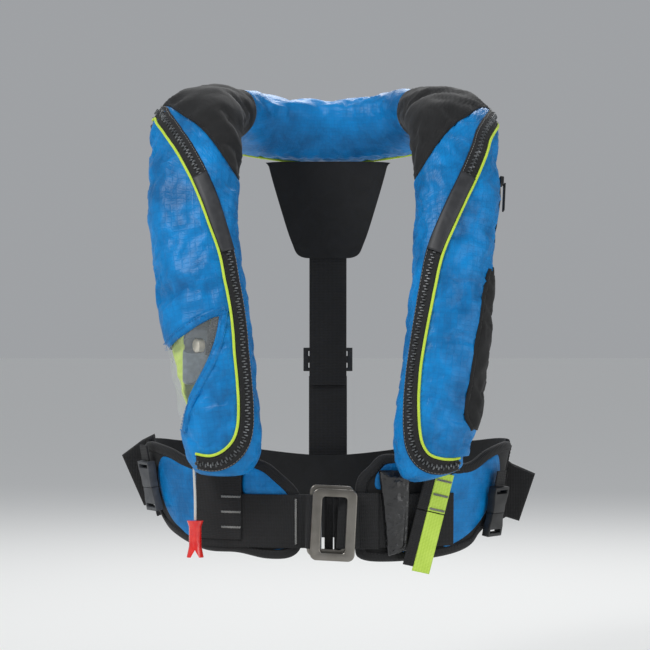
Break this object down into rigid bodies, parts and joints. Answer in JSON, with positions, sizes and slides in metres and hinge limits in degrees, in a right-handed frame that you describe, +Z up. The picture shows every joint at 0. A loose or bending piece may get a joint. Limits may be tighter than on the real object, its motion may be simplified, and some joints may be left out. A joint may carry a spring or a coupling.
{
  "type": "inflatable life jacket",
  "caption": "Automatic inflatable life jacket with belt harness, worn and closed: folded lobes, burst zips, window, steel belt buckle, tow handle and pull toggle.",
  "frame": {"origin": "centre of the neck opening at shoulder height, where the jacket hangs on the wearer", "axes": "+X to the wearer's left, +Y behind the wearer, +Z up"},
  "size_m": [0.407, 0.2791, 0.4648],
  "materials": {
    "ripstop_blue": "woven ripstop, satin",
    "softshell_black": "brushed neoprene",
    "webbing_black": "ribbed webbing",
    "webbing_lime": "ribbed webbing",
    "piping_lime": "woven piping",
    "bladder_lime": "coated fabric",
    "thread_grey": "bar-tack thread",
    "cord_white": "braided cord",
    "zip_black": "moulded coil",
    "label_grey": "satin tab",
    "window_clear": "clear film",
    "steel": "satin brushed",
    "gas_steel": "zinc plated",
    "plastic_black": "fine texture",
    "plastic_grey": "fine texture",
    "plastic_beige": "gloss",
    "toggle_red": "gloss",
    "whistle_orange": "gloss",
    "pouch_black": "coated, glossy"
  },
  "bodies": {
    "jacket": {"back_band": "softshell_black", "back_strap_lower": "webbing_black", "back_strap_upper": "webbing_black", "back_yoke": "softshell_black", "bar_tacks": "thread_grey", "bladder_inlet": "plastic_black", "collar_cover": "ripstop_blue", "cord_grommet": "plastic_black", "firing_head_body": "plastic_grey", "folded_bladder": "bladder_lime", "handle_lining_anchor": "webbing_black", "inflation_window": "window_clear", "left_belt_webbing": "webbing_black", "left_belt_wing": "ripstop_blue", "left_buckle_hanger": "webbing_black", "left_burst_zip_chain": "zip_black", "left_burst_zip_tape": "zip_black", "left_lobe_cover": "ripstop_blue", "left_piping": "piping_lime", "left_shoulder_cover": "softshell_black", "left_side_buckle_housing": "plastic_black", "left_side_panel": "softshell_black", "left_stowed_strap": "webbing_black", "left_wing_binding": "webbing_black", "left_zip_label_tab": "label_grey", "oral_tube": "plastic_black", "pocket_zip_tape": "zip_black", "right_anchor_webbing": "webbing_black", "right_belt_webbing": "webbing_black", "right_belt_wing": "ripstop_blue", "right_buckle_hanger": "webbing_black", "right_burst_zip_chain": "zip_black", "right_burst_zip_tape": "zip_black", "right_lobe_cover": "ripstop_blue", "right_piping": "piping_lime", "right_shoulder_cover": "softshell_black", "right_side_buckle_housing": "plastic_grey", "right_stowed_strap": "webbing_black", "right_wing_binding": "webbing_black", "right_zip_label_tab": "label_grey", "stowage_pouch": "pouch_black", "tow_handle_anchor": "webbing_lime", "waist_belt_back": "webbing_black", "whistle": "whistle_orange"},
    "toggle": {"pull_cord": "cord_white", "pull_toggle": "toggle_red"},
    "lever": {"firing_lever": "plastic_black"},
    "head_cap": {"firing_head_cap": "plastic_beige"},
    "gas": {"gas_cylinder": "gas_steel"},
    "front_frame": {"buckle_front_frame": "steel"},
    "rear_frame": {"buckle_rear_frame": "steel"},
    "handle": {"tow_handle_loop": "webbing_lime", "tow_handle_lining": "webbing_black"},
    "pocket_slider": {"pocket_zip_slider": "plastic_black"},
    "pocket_pull": {"pocket_zip_pull": "plastic_black"},
    "burst_slider": {"burst_zip_slider": "plastic_grey"},
    "right_prongs": {"right_side_buckle_prongs": "plastic_grey"},
    "left_prongs": {"left_side_buckle_prongs": "plastic_black"},
    "oral_cap": {"oral_tube_cap": "plastic_grey"},
    "strap_adjuster": {"back_strap_adjuster": "plastic_black"}
  },
  "joints": [
    {"name": "toggle_pull", "type": "slide", "parent": "jacket", "child": "toggle", "axis": [0, 0, -1], "range_m": [0, 0.03]},
    {"name": "lever_turn", "type": "hinge", "parent": "jacket", "child": "lever", "pos_m": [-0.107, -0.122, -0.243], "axis": [0, -1, 0], "range_deg": [0, 80]},
    {"name": "cap_turn", "type": "hinge", "parent": "jacket", "child": "head_cap", "pos_m": [-0.1165, -0.131, -0.199], "axis": [-0.8601, -0.5101, 0], "continuous": true},
    {"name": "cylinder_unscrew", "type": "hinge", "parent": "jacket", "child": "gas", "pos_m": [-0.116, -0.116, -0.176], "axis": [-0.0767, 0.2077, 0.9752], "continuous": true},
    {"name": "buckle_front_swing", "type": "hinge", "parent": "jacket", "child": "front_frame", "pos_m": [0.02128, -0.121, -0.36635], "axis": [0.0523, 0, 0.9986], "range_deg": [0, 110]},
    {"name": "buckle_rear_rock", "type": "hinge", "parent": "jacket", "child": "rear_frame", "pos_m": [-0.01408, -0.11, -0.36185], "axis": [0.0523, 0, 0.9986], "range_deg": [-3, 2]},
    {"name": "tow_handle_swing", "type": "hinge", "parent": "jacket", "child": "handle", "pos_m": [0.1003, -0.09512, -0.357], "axis": [-0.8848, -0.4089, 0.2236], "range_deg": [0, 85]},
    {"name": "pocket_zip_slide", "type": "slide", "parent": "jacket", "child": "pocket_slider", "axis": [-0.07, -0.5032, -0.8613], "range_m": [0, 0.035]},
    {"name": "pocket_pull_swing", "type": "hinge", "parent": "pocket_slider", "child": "pocket_pull", "pos_m": [0.16699, -0.06771, -0.04702], "axis": [0.2658, -0.8417, 0.4701], "range_deg": [0, 90]},
    {"name": "burst_zip_slide", "type": "slide", "parent": "jacket", "child": "burst_slider", "axis": [0.2004, 0.9416, 0.2705], "range_m": [0, 0.02]},
    {"name": "right_buckle_release", "type": "slide", "parent": "jacket", "child": "right_prongs", "axis": [0.1786, 0.0872, -0.9801], "range_m": [0, 0.03]},
    {"name": "left_buckle_release", "type": "slide", "parent": "jacket", "child": "left_prongs", "axis": [-0.155, 0.1033, -0.9825], "range_m": [0, 0.03]},
    {"name": "oral_cap_slide", "type": "slide", "parent": "jacket", "child": "oral_cap", "axis": [0.0458, 0.122, 0.9915], "range_m": [0, 0.016]},
    {"name": "adjuster_slide", "type": "slide", "parent": "jacket", "child": "strap_adjuster", "axis": [0, 0, 1], "range_m": [0, 0.03]}
  ],
  "couplings": [
    {"joint": "lever_turn", "follows": "toggle_pull", "rad_per_m": 46.522}
  ]
}
